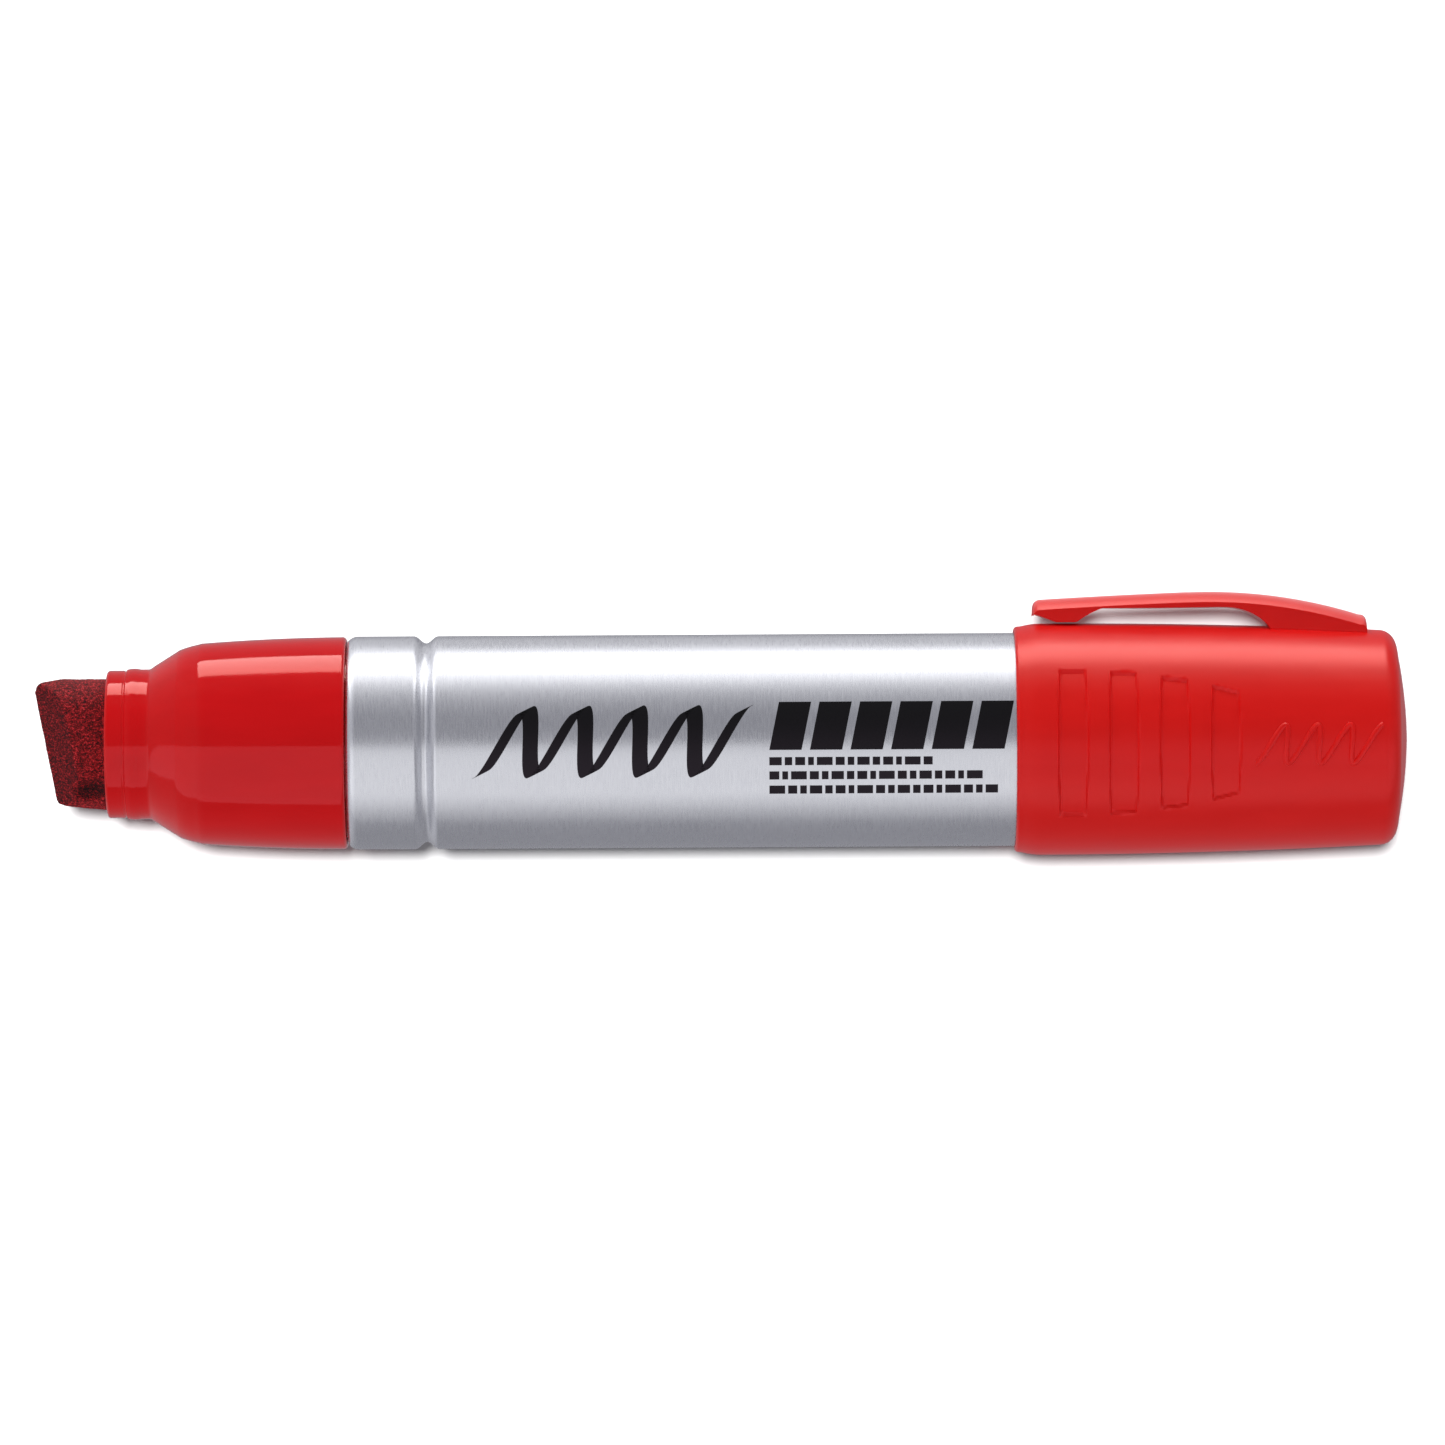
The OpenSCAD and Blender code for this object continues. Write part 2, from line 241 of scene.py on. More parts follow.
# %% Make the can
can_outline = (
    can_side(0)
    + arc(can_len - roll_r, seat_r - roll_r, roll_r, 0, 90, 10)
    + [(can_len, base_ring_r), (base_at, base_ring_r - base_step)]
    + bow((base_at, base_ring_r - 2 * base_step), (base_at, disc_r), 0.12)
    + bow((disc_at, disc_r - disc_rise), (disc_at, 0), 0.03)
    + [(can_len - can_floor - 0.1, 0), (can_len - can_floor, seat_r - roll_r)]
    + [(can_len - roll_r, seat_r - can_wall)]
    + can_side(can_wall)[::-1]
    + [can_side(0)[0]]
)
can = turn_on_lathe("can", can_outline)

# %% [markdown]
# ## The nose
# The nose is one moulding that holds the nib and plugs the can. From the front it has a
# collar, a fine groove, a low bead that the inner cap seals on, a straight cone, a rounded
# shoulder and a long skirt that widens a little to the can's diameter. Inside, a solid block
# grips the nib and a wide bore takes the ink filler.

# %% Nose outline
neck_r = 9.13
collar_r = 9.0
filler_bore_r = 10.58
grip_back = nose_front + 18.8
plug_r = can_r - can_wall - 0.05
collar_edge_r = 0.4
seal_at = nose_front + 2.5
seal_len = 1.6
seal_bead_h = 0.1
neck_end = nose_front + 5.1
cone_at = nose_front + 5.8
shoulder_at = nose_front + 8.9
skirt_at = nose_front + 11.5
skirt_drop = 0.7
rim_gap = 0.18
nose_outline = (
    [(nose_front, 0)]
    + arc(nose_front + collar_edge_r, collar_r - collar_edge_r, collar_edge_r, -90, 0, 8)
    + bow((seal_at - 0.45, collar_r), (seal_at - 0.05, neck_r), -0.16, 8)
    + bow((seal_at, neck_r), (seal_at + seal_len, neck_r), seal_bead_h, 10)
    + bow((neck_end, neck_r), (neck_end + 0.4, neck_r + 0.2), -0.03, 3)
    + bow((cone_at, neck_r + 0.42), (shoulder_at - 0.25, nose_r - 1.6), 0, 3)
    + bow((shoulder_at, nose_r - 1.45), (skirt_at - 0.25, nose_r - 0.78), 0.05, 3)
    + bow((skirt_at, nose_r - skirt_drop), (-0.75, nose_r - 0.01), 0.15, 24)
    + bow((-0.6, nose_r), (-rim_gap, nose_r - 0.42), 0.08, 6)
    + [(-rim_gap, can_r - 1.5), (0.4, can_r - 1.5), (1.6, plug_r)]
    + rolled_bead(plug_r)
    + [(plug_end - 0.5, plug_r), (plug_end, plug_r - 0.5), (plug_end, filler_bore_r)]
    + [(grip_back, filler_bore_r), (grip_back, 0)]
)
nose = turn_on_lathe("nose", nose_outline)

# %% [markdown]
# ## A flat bar with round edges
# The nib's socket and the nib share one section: a flat bar 16 mm wide and 8 mm thick whose
# long edges are half round. It starts as a cube; its four long edges are then bevelled by
# half the thickness. Edges are selected one by one, in edge mode, because in vertex mode the
# corners would take the end edges with them. The socket is cut with a Boolean.


# %% Bar helper and the nib's socket
def flat_bar(name, start, end, width, thick, segments=14):
    """A bar along X with half-round long edges."""
    bpy.ops.object.select_all(action="DESELECT")
    centre = place((start + end) / 2)
    size = ((end - start) * MM, width * MM, thick * MM)
    bpy.ops.mesh.primitive_cube_add(size=1, location=centre, scale=size)
    bar = bpy.context.object
    bar.name = bar.data.name = name
    bpy.ops.object.transform_apply(location=True, rotation=True, scale=True)
    bpy.ops.object.mode_set(mode="EDIT")
    bpy.ops.mesh.select_mode(type="EDGE")
    bpy.ops.mesh.select_all(action="DESELECT")
    bpy.ops.object.mode_set(mode="OBJECT")
    for edge in bar.data.edges:
        a, b = (bar.data.vertices[i].co for i in edge.vertices)
        edge.select = abs(a.x - b.x) > 0.5 * size[0]
    bpy.ops.object.mode_set(mode="EDIT")
    bpy.ops.mesh.bevel(offset=thick * MM * 0.499, segments=segments, affect="EDGES")
    bpy.ops.mesh.select_mode(type="VERT")
    bpy.ops.object.mode_set(mode="OBJECT")
    return bar


def apply_modifier(piece, kind, **settings):
    """Adds a modifier, sets it and applies it."""
    bpy.ops.object.select_all(action="DESELECT")
    piece.select_set(True)
    bpy.context.view_layer.objects.active = piece
    modifier = piece.modifiers.new(kind.title(), kind)
    for key, value in settings.items():
        setattr(modifier, key, value)
    bpy.ops.object.modifier_apply(modifier=modifier.name)


socket_gap = 0.06
socket = flat_bar("socket_cutter", nose_front - 1, grip_back + 1, nib_w + 2 * socket_gap,
                  nib_t + 2 * socket_gap, 20)
apply_modifier(nose, "BOOLEAN", operation="DIFFERENCE", solver="EXACT", object=socket)
bpy.data.objects.remove(socket)

# %% [markdown]
# ## The felt nib
# The nib is a block of pressed felt. Its writing edge is slanted, and two bevels thin it to
# an edge. The block is cut with bisect, as with a knife: one cut for the slant, one for each
# bevel, one for the slope of each narrow side, and small ones that take off the corners. Then
# the skin is remeshed into small even faces. Displace modifiers press in the small hollow near
# the lower edge and push the skin in and out: a coarse texture for soft, worn corners and a
# fine one for the fibres.

# %% Cut the nib
nib_slant = math.radians(11.6)
nib_edge_t = 2.6
nib_bevel_len = 3.3
nib_taper = math.atan2(0.7, 8.0)
lead_r = 1.5
lead_slope_len = 3.3
lead_slope = math.radians(9)
lead_drop = (lead_slope_len - lead_r) * math.tan(lead_slope)
lead_rise = (lead_drop + lead_r * (1 + math.sin(nib_slant))) * math.tan(nib_slant)
trail_r = 0.7
trail_inset = 0.18
nib = flat_bar("nib", nib_front, nib_back, nib_w, nib_t, 12)


def turned(degrees):
    """A direction in the marker's plane; 0 degrees is +X and 90 is +Y."""
    return Vector((math.cos(math.radians(degrees)), math.sin(math.radians(degrees)), 0))


forward = Vector((-math.cos(nib_slant), -math.sin(nib_slant), 0))
edge_at = nib_front + lead_r * (1 - math.cos(nib_slant)) - lead_rise
edge_corner = Vector(place(edge_at, nib_w / 2))
cuts = [(edge_corner, forward)]
for side in (-1, 1):
    slope = forward * (nib_t - nib_edge_t) / 2 + Vector((0, 0, side * nib_bevel_len))
    cuts.append((edge_corner + Vector((0, 0, side * nib_edge_t / 2 * MM)), slope))
cuts.append((Vector(place(nib_front + lead_slope_len, nib_w / 2)),
             Vector((-math.sin(lead_slope), math.cos(lead_slope), 0))))
lead_centre = Vector(place(nib_front + lead_r, nib_w / 2 - lead_drop - lead_r))
for degrees in (118, 136, 154, 174):
    cuts.append((lead_centre + turned(degrees) * lead_r * MM, turned(degrees)))
cuts.append((Vector(place(nose_front, -nib_w / 2)),
             Vector((-math.sin(nib_taper), -math.cos(nib_taper), 0))))
trail = edge_at + (nib_w - trail_r) * math.tan(nib_slant)
for degrees in (212, 246):
    corner = Vector(place(trail, trail_r - nib_w / 2))
    cuts.append((corner - turned(degrees) * trail_inset * MM, turned(degrees)))
bpy.ops.object.select_all(action="DESELECT")
nib.select_set(True)
bpy.context.view_layer.objects.active = nib
bpy.ops.object.mode_set(mode="EDIT")
for point, normal in cuts:
    bpy.ops.mesh.select_all(action="SELECT")
    bpy.ops.mesh.bisect(plane_co=point, plane_no=normal.normalized(), use_fill=True,
                        clear_outer=True)
bpy.ops.object.mode_set(mode="OBJECT")

# %% Give the nib its felt skin
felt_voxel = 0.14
smoothed_over = 0.6
apply_modifier(nib, "REMESH", mode="VOXEL", voxel_size=felt_voxel * MM, use_smooth_shade=True)
apply_modifier(nib, "SMOOTH", factor=0.5, iterations=int(smoothed_over / felt_voxel))
hollow_middle = place(nose_front - 2.0, -5.4)
hollow_half = (2.3, 1.45)
hollow_depth = 0.75
hollow = nib.vertex_groups.new(name="hollow")
for vertex in nib.data.vertices:
    away = [(vertex.co[i] - hollow_middle[i]) / MM / hollow_half[i] for i in (0, 1)]
    share = 1 - math.hypot(*away)
    if share > 0 and vertex.co.z > 0:
        hollow.add([vertex.index], share * (2 - share), "REPLACE")
apply_modifier(nib, "DISPLACE", vertex_group="hollow", direction="Z",
               strength=-hollow_depth * MM, mid_level=0)
worn_size = 2.2
worn_depth = 0.10
fibre_size = 0.33
fibre_depth = 0.13
skin_level = 0.62
worn = bpy.data.textures.new("worn_felt", "CLOUDS")
worn.noise_scale = worn_size * MM
apply_modifier(nib, "DISPLACE", texture=worn, strength=worn_depth * MM, mid_level=skin_level)
fibres = bpy.data.textures.new("felt_fibres", "CLOUDS")
fibres.noise_scale = fibre_size * MM
fibres.noise_depth = 2
apply_modifier(nib, "DISPLACE", texture=fibres, strength=fibre_depth * MM, mid_level=skin_level)
print("nib has", len(nib.data.polygons), "faces of felt")

# %% [markdown]
# ## The cap
# The cap is a thin moulding that narrows in one long curve from just behind its lip to a
# rounded, slightly domed end. It is turned on the lathe like the nose, with extra rings where
# the grip windows will be, so that they get clean edges.

# %% Cap outline
cap_bore_r = can_r + 0.05
cap_wall = cap_r - cap_bore_r
cap_taper = 1.1
belly_at = 3.5
dome_h = 1.3
corner_r = 2.1
cap_edge = cap_end - lip - dome_h
window_from = 4.0
window_to = 28.4


def cap_outside(at):
    """Radius of the cap's outside at a distance from its lip."""
    t = (at - belly_at) / (cap_edge - belly_at)
    return cap_r - cap_taper * t * t


def stations(start, end, step):
    """Even steps from start to end, without the start."""
    count = max(1, round((end - start) / step))
    return [start + (end - start) * i / count for i in range(1, count + 1)]


corner_at = cap_edge - corner_r
corner_mid = cap_outside(corner_at) - corner_r
lip_face_r = cap_bore_r + 0.12
cap_outline = [(0.18, cap_bore_r)] + arc(0.12, lip_face_r + 0.12, 0.12, 180, 270, 3)
cap_outline += arc(0.45, cap_r - 0.35 - 0.45, 0.45, -90, 0, 8)
cap_outline += bow((0.9, cap_r - 0.3), (belly_at, cap_r), 0.08, 10)
cap_outline += [(at, cap_outside(at)) for at in stations(belly_at, window_to, 0.2)]
cap_outline += [(at, cap_outside(at)) for at in stations(window_to, corner_at, 1.2)]
cap_outline += arc(corner_at, corner_mid, corner_r, 4, 82, 14)
cap_outline += bow((cap_edge, corner_mid), (cap_edge + dome_h, 0), 0.24, 10)
inner_end_r = cap_outside(cap_edge) - cap_wall
cup_depth = cup_mouth - lip
cap_inside = [(cup_floor - lip, 0), (cup_floor - lip, inner_end_r - 1)]
cap_inside += [(cup_floor - lip - 1, inner_end_r), (cup_depth + 1.2, cap_bore_r)]
cap_inside += [(0.18, cap_bore_r)]
cap = turn_on_lathe("cap", [(lip + s, r) for s, r in cap_outline + cap_inside], 360)

# %% [markdown]
# ## Grip windows
# Four shallow windows on each side give the fingers a grip. Their long sides bow outwards and
# their ends slant more from each window to the next. They are pressed in like a sculptor
# would: a vertex group holds how deep each point sits, from 0 on the skin to 1 on a window's
# floor, and one Displace modifier moves the skin inwards by that weight.

# %% Window shape
windows = 4
window_at = 5.05
window_w = 3.5
window_pitch = 6.15
window_depth = 0.4
window_arc = 39
window_arc_step = 1.15
window_middle = -2.5
window_bow = 0.28
window_slant = 0.032
wall_draft = 0.22


def ease(t):
    """Rises smoothly from 0 to 1."""
    t = min(1.0, max(0.0, t))
    return t * t * (3 - 2 * t)


def window_weight(at, angle):
    """How deep a point of the cap's skin sits; angle is in degrees from the window's middle."""
    weight = 0.0
    for i in range(windows):
        half_arc = window_arc - window_arc_step * i * i
        middle = window_at + window_w / 2 + window_pitch * i
        half_w = window_w / 2 + window_bow * (1 - (angle / half_arc) ** 2) - window_bow / 2
        end_slant = window_slant * i * i * (at - middle)
        radius = cap_outside(at)
        to_side = half_w - abs(at - middle)
        to_end = (half_arc - abs(angle)) * math.pi / 180 * radius - end_slant
        weight = max(weight, ease(to_side / wall_draft) * ease(to_end / wall_draft))
    return weight


# %% Press the windows into the cap
group = cap.vertex_groups.new(name="windows")
for vertex in cap.data.vertices:
    at = (vertex.co.x - can_front) / MM - lip
    radius = math.hypot(vertex.co.y, vertex.co.z) / MM
    if window_from < at < window_to and radius > cap_outside(at) - 0.1:
        angle = math.degrees(math.atan2(vertex.co.y, abs(vertex.co.z))) - window_middle
        weight = window_weight(at, angle)
        if weight > 0:
            group.add([vertex.index], weight, "REPLACE")
apply_modifier(cap, "DISPLACE", vertex_group="windows", strength=-window_depth * MM, mid_level=0)
print(windows, "windows on each side,", window_depth, "mm deep")

# %% [markdown]
# ## The clip
# The clip is moulded in one piece with the cap, and it flexes at its root. It is modelled as
# one continuous piece from tip to root. Its side view is drawn as a closed outline, filled, and
# extruded across in narrow strips. Each strip's outer line is then lowered a little more towards
# the sides, which crowns the outer face.

# %% Clip side view
clip_len_from_lip = 43
root_from_lip = 31
clip_end = lip + clip_len_from_lip
end_skin_r = cap_outside(clip_len_from_lip)
root_skin_r = cap_outside(root_from_lip)
clip_foot_r = cap_r + 0.12
clip_thick = 1.9
tip_top = clip_top - 0.85
end_top = clip_top - 3
peak_at = clip_tip + 0.46 * (clip_end - clip_tip)
under = clip_top - clip_thick
arm_top = clip_top - 0.04
outer_line = (
    arc(clip_tip + 1.0, tip_top - 1.0, 1.0, -80, -8, 6)
    + bow((clip_tip + 1.15, tip_top), (peak_at, arm_top), 0.05, 10)
    + bow((peak_at + 0.6, arm_top), (clip_end - 0.9, end_top + 0.15), 0.88, 22)
    + arc(clip_end - 0.75, end_top - 0.6, 0.75, 20, 85, 5)
)
root_line = [(clip_end, end_skin_r - 0.5), (clip_root + 0.6, root_skin_r - 0.5)]
under_line = (
    [(clip_root + 0.3, root_skin_r - 0.3), (clip_root + 0.05, root_skin_r + 0.12)]
    + bow((clip_root - 0.25, root_skin_r + 0.45), (clip_root - 5.2, under - 0.02), -0.5, 12)
    + bow((clip_root - 5.8, under), (clip_tip + 8.6, under - 0.05), 0.04, 12)
    + bow((clip_tip + 8.2, under - 0.16), (clip_tip + 5.5, clip_foot_r + 0.1), -0.1, 6)
    + [(clip_tip + 5.2, clip_foot_r), (clip_tip + 2.9, clip_foot_r)]
    + [(clip_tip + 2.5, clip_foot_r + 0.14), (clip_tip + 0.25, clip_foot_r + 1.0)]
)
clip_outline = outer_line + root_line + under_line

# %% Extrude the clip across
clip_half = 3.5
clip_tip_half = 3.0
strips = 14
crown = 1.28
chain = [place(s, y, -clip_half) for s, y in clip_outline]
clip = draw_chain("clip", chain)
bpy.ops.mesh.select_all(action="SELECT")
bpy.ops.mesh.edge_face_add()
for _ in range(strips):
    step = (0, 0, 2 * clip_half / strips * MM)
    bpy.ops.mesh.extrude_region_move(TRANSFORM_OT_translate={"value": step})
bpy.ops.mesh.select_all(action="SELECT")
bpy.ops.mesh.normals_make_consistent(inside=False)
bpy.ops.object.mode_set(mode="OBJECT")
arm_low = under + 0.15
for vertex in clip.data.vertices:
    at = (vertex.co.x - can_front) / MM
    share = vertex.co.z / MM / clip_half
    narrow = clip_tip_half + (clip_half - clip_tip_half) * (at - clip_tip) / (clip_end - clip_tip)
    vertex.co.z = share * narrow * MM
    height = vertex.co.y / MM
    if height > arm_low or (at > clip_root + 2 and height > cap_outside(at - lip) + 0.3):
        vertex.co.y -= crown * share * share * MM

# %% Soften the clip's edges
smooth(clip)
bpy.ops.object.mode_set(mode="EDIT")
bpy.ops.mesh.select_mode(type="EDGE")
bpy.ops.mesh.select_all(action="DESELECT")
bpy.ops.mesh.edges_select_sharp(sharpness=math.radians(50))
clip_edge_r = 0.22
bpy.ops.mesh.bevel(offset=clip_edge_r * MM, segments=3, affect="EDGES", clamp_overlap=True)
bpy.ops.mesh.select_mode(type="VERT")
bpy.ops.object.mode_set(mode="OBJECT")
print("clip is", round(clip_end - clip_tip, 1), "mm long")

# %% [markdown]
# ## The inner cap
# Inside the cap sits a cup of natural polyethylene. Its mouth closes on the nose's seal bead,
# so the felt doesn't dry out, and its flange centres it in the cap. It shows only when the
# cap is pulled off.

# %% Inner cap
seal_r = 9.28
cup_r = seal_r + 0.9
flange_r = can_r
cup_outline = (
    arc(cup_mouth + 0.3, seal_r + 0.3, 0.3, 180, 270, 5)
    + arc(cup_mouth + 0.25, flange_r - 0.25, 0.25, -90, 0, 5)
    + arc(cup_mouth + 0.95, flange_r - 0.25, 0.25, 0, 90, 5)
    + arc(cup_mouth + 1.6, cup_r + 0.4, 0.4, 270, 180, 5)
    + arc(cup_floor - 0.6, cup_r - 0.6, 0.6, 0, 90, 6)
    + [(cup_floor, 0), (cup_floor - 1, 0)]
    + arc(cup_floor - 1.8, seal_r - 0.8, 0.8, 90, 0, 6)
    + [(cup_mouth + 0.3, seal_r)]
)
inner_cap = turn_on_lathe("inner_cap", cup_outline, 192)

# %% [markdown]
# ## The print on the can
# The can carries a printed graphic in black ink. Here it is a plain pattern: one wavy stroke
# as a chisel nib draws it, six slanted blocks and three rows of short bars. The stroke is made
# like the real line: a short slanted edge is extruded along a wave. The flat shapes are then
# projected down on to the can with Shrinkwrap and given the thickness of a film of ink.

# %% Print helpers
ink_film = 0.02


def stroke(name, path, nib_edge, height):
    """Extrudes a short slanted edge along a path of (station, y)."""
    dx, dy = nib_edge
    first, second = path[0]
    ends = [(first - dx / 2, second - dy / 2), (first + dx / 2, second + dy / 2)]
    piece = draw_chain(name, [place(s, y, height) for s, y in ends])
    bpy.ops.mesh.select_all(action="SELECT")
    for here, there in zip(path, path[1:]):
        step = ((there[0] - here[0]) * MM, (there[1] - here[1]) * MM, 0)
        bpy.ops.mesh.extrude_edges_move(TRANSFORM_OT_translate={"value": step})
    return piece


def lay_on(piece, carrier, film):
    """Cuts the flat shape finely, projects it on to the carrier and gives it a thickness."""
    bpy.ops.mesh.select_all(action="SELECT")
    bpy.ops.mesh.subdivide(number_cuts=5)
    bpy.ops.object.mode_set(mode="OBJECT")
    apply_modifier(piece, "SHRINKWRAP", target=carrier, wrap_method="PROJECT", use_project_z=True,
                   use_negative_direction=True, use_positive_direction=False, offset=0)
    bpy.ops.object.mode_set(mode="EDIT")
    bpy.ops.mesh.select_all(action="SELECT")
    bpy.ops.mesh.normals_make_consistent(inside=False)
    bpy.ops.object.mode_set(mode="OBJECT")
    if piece.data.polygons[0].normal.z < 0:
        piece.data.flip_normals()
    apply_modifier(piece, "SOLIDIFY", thickness=2 * film * MM, offset=0)


# %% Wavy stroke
def wave(start, end, swings, height, lean, middle=0.0, steps=40):
    """A wave along the marker; lean pushes its crests forward."""
    path = []
    for i in range(int(swings * steps) + 1):
        t = i / (swings * steps)
        swing = math.sin(math.tau * swings * t - math.pi / 2)
        path.append((start + (end - start) * t + lean * swing, middle + height * swing))
    return path


print_height = can_r + 5
wave_print = stroke("wave_print", wave(17.4, 47.2, 4.5, 3.9, 1.2), (1.9, 0.95), print_height)
lay_on(wave_print, can, ink_film)
print("wave_print has", len(wave_print.data.polygons), "faces")

# %% Six slanted blocks and three rows of short bars
block_from = 51.2
block_pitch = 4.9
block_w = 3.9
block_low = -1.1
block_high = 4.7
block_lean = 1.2
bar_h = 0.98
bar_gap = 0.36
first_row = -2.95
row_pitch = 1.72
bar_widths = (1.5, 0.9, 1.2, 0.7, 1.9, 1.1, 0.8)
row_lengths = (19.6, 24.6, 26.4)
blocks = 6
shapes = []
for i in range(blocks):
    middle = block_from + block_w / 2 + block_pitch * i
    shapes.append(([(middle, block_low), (middle + block_lean, block_high)], block_w))
for row, row_len in enumerate(row_lengths):
    at = block_from
    low = first_row - row_pitch * row
    count = row * 2
    while at < block_from + row_len:
        width = bar_widths[count % len(bar_widths)]
        shapes.append(([(at + width / 2, low), (at + width / 2, low + bar_h)], width))
        at += width + bar_gap
        count += 1
flats = []
for path, width in shapes:
    flats.append(stroke(f"flat_{len(flats)}", path, (width, 0), print_height))
    bpy.ops.object.mode_set(mode="OBJECT")
bpy.ops.object.select_all(action="DESELECT")
for flat in flats:
    flat.select_set(True)
bpy.context.view_layer.objects.active = flats[0]
bpy.ops.object.join()
block_print = bpy.context.object
block_print.name = block_print.data.name = "block_print"
bpy.ops.object.mode_set(mode="EDIT")
lay_on(block_print, can, ink_film)
print("print has", len(shapes), "blocks and bars")

# %% [markdown]
# ## The raised mark on the cap
# A small raised wave is moulded into the cap beside the windows. Its line is drawn as a chain,
# projected on to the cap's skin, and turned to a curve, because a curve can carry a round
# bevel. The round line is sunk a little more than half into the skin, so only its crest shows.

# %% Raised wave
mark_r = 0.36
mark_rise = 0.26
points = wave(lip + 29.6, lip + 43.4, 3.5, 2.3, 0.8, -0.75)
cap_mark = draw_chain("cap_mark", [place(s, y, cap_r + 5) for s, y in points])
bpy.ops.object.mode_set(mode="OBJECT")
apply_modifier(cap_mark, "SHRINKWRAP", target=cap, wrap_method="PROJECT", use_project_z=True,
               use_negative_direction=True, use_positive_direction=False)
bpy.ops.object.mode_set(mode="EDIT")
bpy.ops.mesh.select_all(action="SELECT")
bpy.ops.transform.translate(value=(0, 0, (mark_rise - mark_r) * MM))
bpy.ops.object.mode_set(mode="OBJECT")
bpy.ops.object.convert(target="CURVE")
cap_mark.data.bevel_depth = mark_r * MM
cap_mark.data.bevel_resolution = 3
cap_mark.data.use_fill_caps = True
bpy.ops.object.convert(target="MESH")
cap_mark.data.name = "cap_mark"
print("cap_mark stands", mark_rise, "mm out of the cap")

# %% [markdown]
# ## Materials
# One small function adds a node with its settings and links, and one turns the usual hex
# colours, which are sRGB, into the linear values that a shader works with.


# %% Material helpers
def linear(hex_colour):
    """sRGB hex to linear RGBA."""
    values = [int(hex_colour[i:i + 2], 16) / 255 for i in (1, 3, 5)]
    return [v / 12.92 if v <= 0.04045 else ((v + 0.055) / 1.055) ** 2.4 for v in values] + [1]


def add_node(tree, kind, settings=None, values=None, links=None):
    """Adds a node, sets its properties and input values, and links outputs to its inputs."""
    node = tree.nodes.new(kind)
    for key, value in (settings or {}).items():
        setattr(node, key, value)
    for key, value in (values or {}).items():
        node.inputs[key].default_value = value
    for key, socket in (links or {}).items():
        tree.links.new(socket, node.inputs[key])
    return node


def start_material(name):
    """An empty node material with one Principled shader."""
    material = bpy.data.materials.new(name)
    material.use_nodes = True
    shader = material.node_tree.nodes["Principled BSDF"]
    return material, material.node_tree, shader


def ramp(tree, source, stops):
    """A Color Ramp on source, with stops of (position, hex colour)."""
    node = add_node(tree, "ShaderNodeValToRGB", links={"Fac": source})
    while len(node.color_ramp.elements) < len(stops):
        node.color_ramp.elements.new(0.5)
    for element, (position, colour) in zip(node.color_ramp.elements, stops):
        element.position = position
        element.color = linear(colour)
    return node.outputs["Color"]


def grain(tree, size_mm, detail=3, roughness=0.55):
    """Noise whose features have these sizes in millimetres along X, Y and Z."""
    where = add_node(tree, "ShaderNodeTexCoord")
    scaled = add_node(tree, "ShaderNodeMapping", values={"Scale": [1 / (s * MM) for s in size_mm]},
                      links={"Vector": where.outputs["Object"]})
    noise = add_node(tree, "ShaderNodeTexNoise", values={"Scale": 1, "Detail": detail,
                     "Roughness": roughness}, links={"Vector": scaled.outputs["Vector"]})
    return noise.outputs["Fac"]


def spread(tree, source, low, high, from_low=0.3, from_high=0.7):
    """Maps the useful middle of a noise to a range of values."""
    node = add_node(tree, "ShaderNodeMapRange", values={"From Min": from_low, "From Max": from_high,
                    "To Min": low, "To Max": high}, links={"Value": source})
    return node.outputs["Result"]


def bump(tree, source, depth_mm, strength=1.0, over=None):
    """A Bump node of that depth, laid over another one if given."""
    links = {"Height": source}
    if over is not None:
        links["Normal"] = over
    node = add_node(tree, "ShaderNodeBump", values={"Strength": strength, "Distance": depth_mm * MM},
                    links=links)
    return node.outputs["Normal"]


def wear(material, *pieces):
    """Gives the pieces this material alone."""
    for piece in pieces:
        piece.data.materials.clear()
        piece.data.materials.append(material)
    print(material.name, "is worn by", [piece.name for piece in pieces])


# %% [markdown]
# ### Satin brushed aluminium
# The can is brushed while it turns, so its grain runs round it: hair-fine lines that are long
# round the can and narrow along it. The real lines are some hundredths of a millimetre wide,
# and they are drawn a little coarser here so that they show. They break up the edges of the
# bright bands and leave the metal soft but still clearly metal.

# %% Brushed aluminium
brushed, tree, shader = start_material("brushed_aluminium")
lines = grain(tree, (0.14, 1.6, 1.6), 3, 0.65)
sparkle = grain(tree, (0.13, 0.5, 0.5), 3, 0.65)
smudges = grain(tree, (14, 9, 9), 2)
shader.inputs["Metallic"].default_value = 1
tint = ramp(tree, lines, [(0.3, "#D3D4D9"), (0.7, "#DFE0E4")])
tree.links.new(tint, shader.inputs["Base Color"])
rough = add_node(tree, "ShaderNodeMath", {"operation": "ADD"},
                 links={0: spread(tree, lines, 0.22, 0.3), 1: spread(tree, smudges, 0, 0.05)})
tree.links.new(rough.outputs["Value"], shader.inputs["Roughness"])
fine = bump(tree, sparkle, 0.011, 0.55)
tree.links.new(bump(tree, lines, 0.008, 0.4, fine), shader.inputs["Normal"])
wear(brushed, can)


# %% [markdown]
# ### Red polypropylene
# Nose, cap and clip are moulded polypropylene. It is dyed right through, lets a little light
# in, and copies its mould: the nose comes from a polished one and mirrors clearly, the cap and
# the clip from a satin one that blurs. The melt's flow leaves a faint unevenness a few
# millimetres long, and the skin has a very fine texture.


